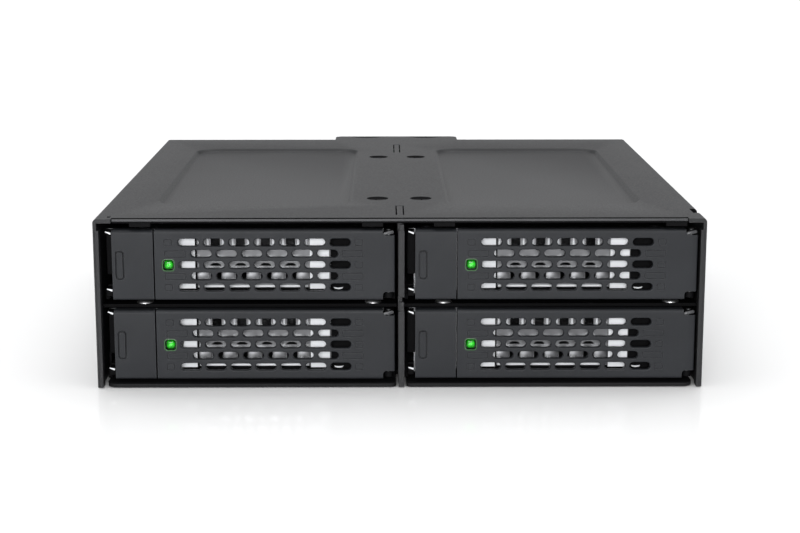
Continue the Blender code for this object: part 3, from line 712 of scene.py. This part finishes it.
def make_pins():
    """The hinge pin, and the slanted cam that shows in the upper notch."""
    bm = bmesh.new()
    add_cylinder(bm, (HINGE_X, HINGE_R, MIDDLE + 0.1), 0.6, TRAY_H - 0.4, "Z", 24)
    pin = make_piece("pin_master", bm, PLATED, (HINGE_X, HINGE_R, MIDDLE))
    smooth(pin)
    spread_on_trays(pin, "hinge_pin_round", "tray", "plated_steel", "hinge_pin")
    cam_z = TRAY_H - 0.75
    slant = Matrix.Rotation(math.radians(-13), 3, "Y")
    bm = bmesh.new()
    add_prism(bm, oblong((HINGE_X, cam_z), 2.5, 0.72), 0.12, 0.34, "Y")
    bmesh.ops.rotate(bm, cent=(HINGE_X, 0, cam_z), matrix=slant, verts=bm.verts)
    cam = make_piece("cam_master", bm, CAM_GREY)
    soften(cam, 0.1)
    spread_on_trays(cam, "hinge_cam", "lever", "black_plastic")


# Case


def cover_profile():
    """The section of the top and both walls, with rolled upper corners."""
    inner, corner = HALF_W - 0.8, 0.9
    low = TOP - TOP_T
    profile = [(-HALF_W, 0), (-inner, 0), (-inner, low), (inner, low), (inner, 0), (HALF_W, 0)]
    profile += arc((HALF_W - corner, TOP - corner), corner, 0, 90, 6)
    profile += arc((-HALF_W + corner, TOP - corner), corner, 90, 180, 6)
    return profile


def tab_outline():
    """The tab behind the top, over the fan."""
    half, depth, bend = 19.4, 8.0, 2.2
    tab = [(-half, REAR - 1), (half, REAR - 1), (half, REAR)]
    tab += arc((half - bend, REAR + depth - bend), bend, 0, 90, 8)
    tab += arc((-half + bend, REAR + depth - bend), bend, 90, 180, 8)
    tab += [(-half, REAR)]
    return tab


def cover_openings():
    """The cuts for the lip, two nicks, two slots, the seams, the tab's crescents and the side holes."""
    bm = bmesh.new()
    add_box(bm, (-LIP_HALF - 0.3, FRONT - 1, TOP - 1.01), (LIP_HALF + 0.3, FRONT + 1.7, TOP + 1))
    add_box(bm, (-70.0, FRONT + 2.2, TOP - 2), (-69.1, FRONT + 4.4, TOP + 1))
    add_box(bm, (71.0, FRONT + 7.9, TOP - 1.2), (HALF_W + 1, FRONT + 13.7, TOP + 1))
    half = 1.05
    for low, high in ((0.038, 0.131), (0.793, 0.916)):
        slot = rounded_rectangle((-half, FRONT + low * CASE_D), (half, FRONT + high * CASE_D), 0.3, 3)
        add_prism(bm, slot, TOP - 2, TOP + 1)
    chord, sagitta, steps = 11.4, 3.0, 12
    edge = REAR + 7.0
    for side in (-1, 1):
        seam = side * (HALF_W - 0.42)
        add_box(bm, (seam - 0.05, FRONT - 1, -1), (seam + 0.05, FRONT + 0.15, HEM_TOP))
        left = side * 9.3 - chord / 2
        crescent = [(left + chord, edge), (left, edge)]
        for i in range(1, steps):
            crescent.append((left + chord * i / steps, edge - sagitta * (1 - (2 * i / steps - 1) ** 2)))
        add_prism(bm, crescent, TOP - 2, TOP + 1)
    for y in (52.3, 131.6):
        for z in (10.0, 21.8):
            add_cylinder(bm, (0, FRONT + y, z), 1.65, 2 * HALF_W + 10, "X", 28)
    return bm


def darken_cover(cover):
    """Gives the cut front edges and the countersinks the near-black finish as painted shade."""
    cover.data.materials.append(PAINTED_SHADE)
    for polygon in cover.data.polygons:
        centre = polygon.center / MM
        faces_front = polygon.normal.y < -0.5 and FRONT + 0.1 < centre.y < REAR and centre.z > TOP - 1.5
        if faces_front and (centre.y < FRONT + 3 or abs(centre.x) > 70):
            polygon.material_index = 1
        for share in SCREW_SHARES:
            away = math.hypot(abs(centre.x) - SCREW_X, centre.y - FRONT - share * CASE_D)
            if away < 2.75 and centre.z < TOP - 0.05:
                polygon.material_index = 1


def make_cover():
    """Top and side walls with rolled corners, pressed panels, slots, countersinks and the tab behind."""
    bm = bmesh.new()
    add_prism(bm, cover_profile(), FRONT, REAR, "Y")
    cover = make_piece("case_cover", bm, COATED)
    bm = bmesh.new()
    for side in (-1, 1):
        low, high = sorted((side * (HALF_W - 1.3), side * (HALF_W - 0.1)))
        add_box(bm, (low, FRONT, 0), (high, FRONT + 3.0, HEM_TOP))
    cut(cover, bm, "UNION")
    bm = bmesh.new()
    add_prism(bm, tab_outline(), TOP - TOP_T, TOP)
    cut(cover, bm, "UNION")
    cut(cover, cover_openings())
    bm = bmesh.new()
    for side in (-1, 1):
        low, high = sorted((side * 11.5, side * 61.0))
        corners = (low, FRONT + 0.141 * CASE_D), (high, FRONT + 0.858 * CASE_D)
        press(bm, corners, 7.5, 0.9, 1.3)
    cut(cover, bm)
    bm = bmesh.new()
    for side in (-1, 1):
        for share in SCREW_SHARES:
            place = (side * SCREW_X, FRONT + share * CASE_D, TOP - 0.125)
            add_cylinder(bm, place, 1.5, 2.25, sides=40, end_radius=3.75)
    cut(cover, bm)
    smooth(cover, 28)
    darken_cover(cover)
    declare(cover, "case", "case_coat", "top_cover")


def press(bm, corners, radius, depth, ramp):
    """A shallow pressed panel: its wall runs down on an S curve from the top."""
    (x0, y0), (x1, y1) = corners
    steps = 10
    rings = [(TOP + 0.5, 0.0)]
    for i in range(steps + 1):
        share = i / steps
        rings.append((TOP - depth * (0.5 - 0.5 * math.cos(math.pi * share)), ramp * share))
    loops = []
    for level, inset in rings:
        low, high = (x0 + inset, y0 + inset), (x1 - inset, y1 - inset)
        loops.append(new_loop(bm, rounded_rectangle(low, high, radius - inset * 0.6, 12), level))
    bridge(bm, loops)


def add_dome(bm, centre, radius, height):
    """A shallow dome on a flat base. A negative height points it down."""
    x, y, z = centre
    loops = []
    for k in range(7):
        angle = math.radians(k * 14.6)
        ring = arc((x, y), radius * math.cos(angle), 0, 360 - 360 / 28, 27)
        loops.append(new_loop(bm, ring, z + height * math.sin(angle)))
    bridge(bm, loops)


def make_lip():
    """The rolled edge along the top of the front, lighter than the top as a painted highlight, the strip
    under it and its tongues, near-black as painted shade.
    """
    bm = bmesh.new()
    strip = rounded_rectangle((FRONT, TOP - 0.66), (FRONT + 0.8, TOP - 0.1), 0.27, 6)
    add_prism(bm, strip, -LIP_HALF, LIP_HALF, "X")
    lip = make_piece("lip_strip", bm, LIP_HIGHLIGHT)
    # The strip under the lip and the tongues are near-black: painted shade.
    bm = bmesh.new()
    start, back = FRONT + 0.12, FRONT + 0.8
    under = [(start, TOP - 0.5), (start, TOP - 0.62), (FRONT + 0.4, TOP - 1.05)]
    under += [(back, TOP - 1.05), (back, TOP - 0.5)]
    add_prism(bm, under, -LIP_HALF + 0.02, LIP_HALF - 0.02, "X")
    tongue, tongue_top, tongue_end = TOP - 1.9, TOP - 1.35, FRONT + 9.0
    profile = [(FRONT + 0.3, tongue), (tongue_end, tongue), (tongue_end, tongue_top)]
    profile += [(FRONT + 0.75, tongue_top), (FRONT + 0.75, TOP - 0.6), (FRONT + 0.3, TOP - 0.6)]
    for x in dimple_places():
        add_prism(bm, profile, x - 2.5, x + 2.5, "X")
    tongues = make_piece("lip_tongues", bm, PAINTED_SHADE)
    smooth(lip, 60)
    declare(lip, "case", "case_coat", "front_lip")
    declare(tongues, "case", "case_coat")


def make_divider():
    """The divider with its folded front edge drawn in a little and softly rounded."""
    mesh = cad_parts["center_divider"].data.copy()
    for vertex in mesh.vertices:
        for fold, drawn_in in ((-0.6, -0.4), (1.15, 1.02)):
            if abs(vertex.co.x - fold * MM) < 1e-5:
                vertex.co.x = drawn_in * MM
    divider = add_object("divider_sheet", mesh)
    assign(divider, COATED)
    soften(divider, 0.1)
    declare(divider, "case", "case_coat", "center_divider")


def dimple_places():
    """Two places across each of the lower trays."""
    trays = (tray_origin("lower_left"), tray_origin("lower_right"))
    return [tray.x + x for tray in trays for x in (6.9, 62.2)]


def make_dimples():
    """Rubbed bright dimples, up from the shelves and down from the lip's tongues."""
    shelf_top = node_box("shelf_left")[1].z - 1.0
    for i, x in enumerate(dimple_places()):
        bm = bmesh.new()
        add_dome(bm, (x, FRONT + 6.4, shelf_top - 0.02), 2.06, 1.06)
        add_dome(bm, (x, FRONT + 5.5, TOP - 1.88), 1.96, -0.66)
        dimple = make_piece(f"dimple_{i + 1}", bm, RUBBED)
        smooth(dimple, 60)
        declare(dimple, "case", "case_coat")


def make_top_screws():
    """Countersunk screws with a cross recess, set a little below the CAD node's top."""
    for i in range(4):
        name = f"cover_screw_{i + 1}"
        low, high = node_box(name)
        centre = (low + high) / 2
        top = high.z - 0.4
        bm = bmesh.new()
        add_cylinder(bm, (0, 0, top - 0.05), 2.0, 0.1, sides=40, end_radius=1.93)
        screw = make_piece(f"flat_screw_{i + 1}", bm, SCREW_BLACK, (0, 0, top), (centre.x, centre.y, 0))
        bm = bmesh.new()
        add_cylinder(bm, (0, 0, top - 0.42), 1.2, 0.7, sides=40, end_radius=1.99)
        cut(screw, bm, "UNION")
        bm = bmesh.new()
        add_cylinder(bm, (0, 0, top - 2.2), 1.2, 2.2, sides=24)
        cut(screw, bm, "UNION")
        cut_cross(screw, (0, 0, top), 1.45, 0.8, "Z", 0.4 + i)
        smooth(screw, 30)
        declare(screw, "case", "black_screw", name)


# Rear side and drives


def make_soft_copies():
    """The remaining sheets and mouldings, with their edges softly rounded."""
    pieces = {
        "base_pan": ("base_sheet", SHADED, 0.12, "case_coat"),
        "rear_panel": ("rear_sheet", COATED, 0.1, "case_coat"),
        "fan_housing": ("fan_frame", PLASTIC, 0.25, "black_plastic"),
    }
    for name in port_names():
        pieces[name] = (name.replace("port", "port_shell"), PLASTIC, 0.18, "black_plastic")
    for name, (new_name, material, width, slot) in pieces.items():
        obj = add_object(new_name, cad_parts[name].data.copy())
        obj.matrix_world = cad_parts[name].matrix_world.copy()
        assign(obj, material)
        soften(obj, width, 50)
        declare(obj, "case", slot, name)


def port_names():
    return [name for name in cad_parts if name.startswith(("data_port", "power_port"))]


def make_contacts():
    """Gold strips on both sides of each port's blade."""
    pitch, half = 1.27, 0.32
    for name in port_names():
        low, high = node_box(name)
        x, z = (low.x + high.x) / 2, (low.z + high.z) / 2
        count = 7 if name.startswith("data") else 15
        bm = bmesh.new()
        for i in range(count):
            at = x + (i - (count - 1) / 2) * pitch
            for level in (z - 0.64, z + 0.59):
                add_box(bm, (at - half, high.y - 4.6, level), (at + half, high.y - 0.75, level + 0.05))
        contacts = make_piece(f"{name}_contacts", bm, GOLD)
        declare(contacts, "case", "plated_steel")


def make_rotor():
    """The hub and its seven pitched blades, turned layer by layer."""
    blades, layers, twist = 7, 18, math.radians(38)
    hub_r, mid_r, tip_r = 9.5, 13.5, 18.0
    low, high = node_box("fan_rotor")
    z = (low.z + high.z) / 2
    outline = [(hub_r, 0.0), (mid_r, 0.03)]
    outline += [(tip_r, 0.1 + 0.4 * i / 10) for i in range(11)]
    outline += [(mid_r, 0.45)]
    outline += [(hub_r, 0.42 + 0.5 * i / 8) for i in range(9)]
    bm = bmesh.new()
    loops = []
    for layer in range(layers):
        share = layer / (layers - 1)
        ring = []
        for blade in range(blades):
            for radius, part in outline:
                angle = twist * share + 2 * math.pi * (blade + part) / blades
                ring.append((radius * math.cos(angle), z + radius * math.sin(angle)))
        loops.append(new_loop(bm, ring, low.y + (high.y - low.y) * share, "Y"))
    bridge(bm, loops)
    rotor = make_piece("fan_wheel", bm, PLASTIC, (0, (low.y + high.y) / 2, z))
    bm = bmesh.new()
    add_cylinder(bm, (0, high.y, z), 1.2, 10.5, "Y", 24)
    cut(rotor, bm)
    soften(rotor, 0.12, 50)
    declare(rotor, "fan_rotor", "black_plastic", "fan_rotor")


def make_fan_screws():
    """Pan head screws with a cross recess."""
    for i in range(4):
        name = f"fan_screw_{i + 1}"
        low, high = node_box(name)
        x, z = (low.x + high.x) / 2, (low.z + high.z) / 2
        top, seat = high.y, high.y - 1.6
        profile = [(1.4, low.y), (1.4, seat), (2.55, seat), (2.6, top - 0.7), (2.4, top - 0.3)]
        profile += [(2.0, top - 0.08), (1.6, top)]
        bm = bmesh.new()
        loops = []
        for radius, y in profile:
            loops.append(new_loop(bm, arc((x, z), radius, 0, 360 - 360 / 32, 31), y, "Y"))
        bridge(bm, loops)
        screw = make_piece(f"pan_screw_{i + 1}", bm, SCREW_BLACK)
        cut_cross(screw, (x, top, z), 1.3, 0.9, "Y", 0.5 + 0.9 * i)
        smooth(screw, 30)
        declare(screw, "case", "black_screw", name)


def make_drive_lids():
    """A thin lid on each drive, with a pressed disc ringed in painted shade, and small screws."""
    middle, top, disc_y = 32.55, 12.3, 61.0
    half = 31.6
    bm = bmesh.new()
    lid_outline = rounded_rectangle((middle - half, 26.9), (middle + half, 115.1), 3.6)
    add_prism(bm, lid_outline, top - 0.05, top + 0.12)
    for radius, level in ((27.0, 0.3), (24.0, 0.5), (6.0, 0.7)):
        add_cylinder(bm, (middle, disc_y, top + level / 2), radius, level, "Z", 64, radius - 0.15)
    for side in (-1, 1):
        for y in (29.6, 71.0, 112.4):
            add_cylinder(bm, (middle + side * 29.2, y, top + 0.3), 1.7, 0.6, "Z", 24, 1.5)
    add_cylinder(bm, (middle, disc_y, top + 0.3), 1.7, 1.2, "Z", 24, 1.5)
    lid = make_piece("lid_master", bm, LID_METAL)
    smooth(lid, 30)
    # The outer disc takes the darker metal: painted shade round the pressed disc.
    lid.data.materials.append(DRIVE_METAL)
    for polygon in lid.data.polygons:
        in_shade_ring = 0.13 < polygon.center.z / MM - top < 0.32
        polygon.material_index = 1 if in_shade_ring else 0
    spread_on_trays(lid, "drive_lid", "tray", "drive_case")


# Studio


def make_floor():
    bm = bmesh.new()
    bmesh.ops.create_grid(bm, x_segments=2, y_segments=2, size=6000)
    floor = add_object("studio_floor", make_mesh("studio_floor", bm))
    floor.location = (0, 0, -0.0002)
    material, _, shader = new_material("studio_white")
    shader.inputs["Base Color"].default_value = (0.93, 0.93, 0.93, 1)
    shader.inputs["Roughness"].default_value = 0.08
    shader.inputs["Specular IOR Level"].default_value = 0.5
    assign(floor, material)


def make_world():
    """A bright horizon under a dimmer sky."""
    world = bpy.data.worlds.new("studio")
    bpy.context.scene.world = world
    world.use_nodes = True
    tree = world.node_tree
    where = node(tree, "ShaderNodeTexCoord")
    split = node(tree, "ShaderNodeSeparateXYZ")
    tree.links.new(where.outputs["Generated"], split.inputs["Vector"])
    back = tree.nodes["Background"]
    back.inputs["Color"].default_value = (0.985, 0.99, 1.0, 1)
    tree.links.new(spread(tree, split.outputs["Z"], 0.1, 0.24, 1.05, 0.45), back.inputs["Strength"])


def make_studio_lights():
    """A broad overhead light, and a soft box in front."""
    data = bpy.data.lights.new("overhead", "SUN")
    data.energy = 2.5
    data.angle = math.radians(80)
    light = add_object("overhead", data)
    light.rotation_euler = (math.radians(-8), 0, 0)
    data = bpy.data.lights.new("front_soft", "AREA")
    data.shape = "RECTANGLE"
    data.size, data.size_y = 0.6, 0.3
    data.energy = 9.0
    light = add_object("front_soft", data)
    place, target = Vector((-0.1, -1.2, 0.3)), Vector((0, 0, 0.02))
    light.location = place
    light.rotation_euler = (target - place).to_track_quat("-Z", "Y").to_euler()


def make_camera():
    """The lens and distance that show the front and the top in the right proportions."""
    image_width, focal = 800.0, 1729.0
    pitch, yaw = 11.64, 0.49
    ahead, above, aside = 404.0, 71.7, -3.5
    data = bpy.data.cameras.new("camera")
    data.sensor_width = 36.0
    data.lens = focal / image_width * data.sensor_width
    data.clip_start = 0.01
    camera = add_object("camera", data)
    camera.location = (aside * MM, (FRONT - ahead) * MM, (TOP + above) * MM)
    camera.rotation_euler = (math.radians(90 - pitch), 0, math.radians(-yaw))
    bpy.context.scene.camera = camera


def dress_nodes():
    """Finishes for the CAD nodes that stay as they are."""
    finishes = {
        # The shelves take the near-black finish as painted shade.
        "shelf_": PAINTED_SHADE,
        "backplane_board": BOARD,
        "drive_connector": PLASTIC,
        "drive_upper": DRIVE_METAL,
        "drive_lower": DRIVE_METAL,
    }
    for name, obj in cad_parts.items():
        for stem, material in finishes.items():
            if name.startswith(stem):
                assign(obj, material)


def main():
    bpy.context.scene.view_settings.view_transform = "Standard"
    make_camera()
    make_floor()
    make_world()
    make_studio_lights()
    dress_nodes()
    make_levers()
    make_latches()
    make_status_lights()
    make_sleds()
    make_plates()
    make_ribs()
    make_wall_pads()
    make_dark_covers()
    make_pins()
    make_cover()
    make_lip()
    make_divider()
    make_dimples()
    make_top_screws()
    make_soft_copies()
    make_contacts()
    make_rotor()
    make_fan_screws()
    make_drive_lids()


main()
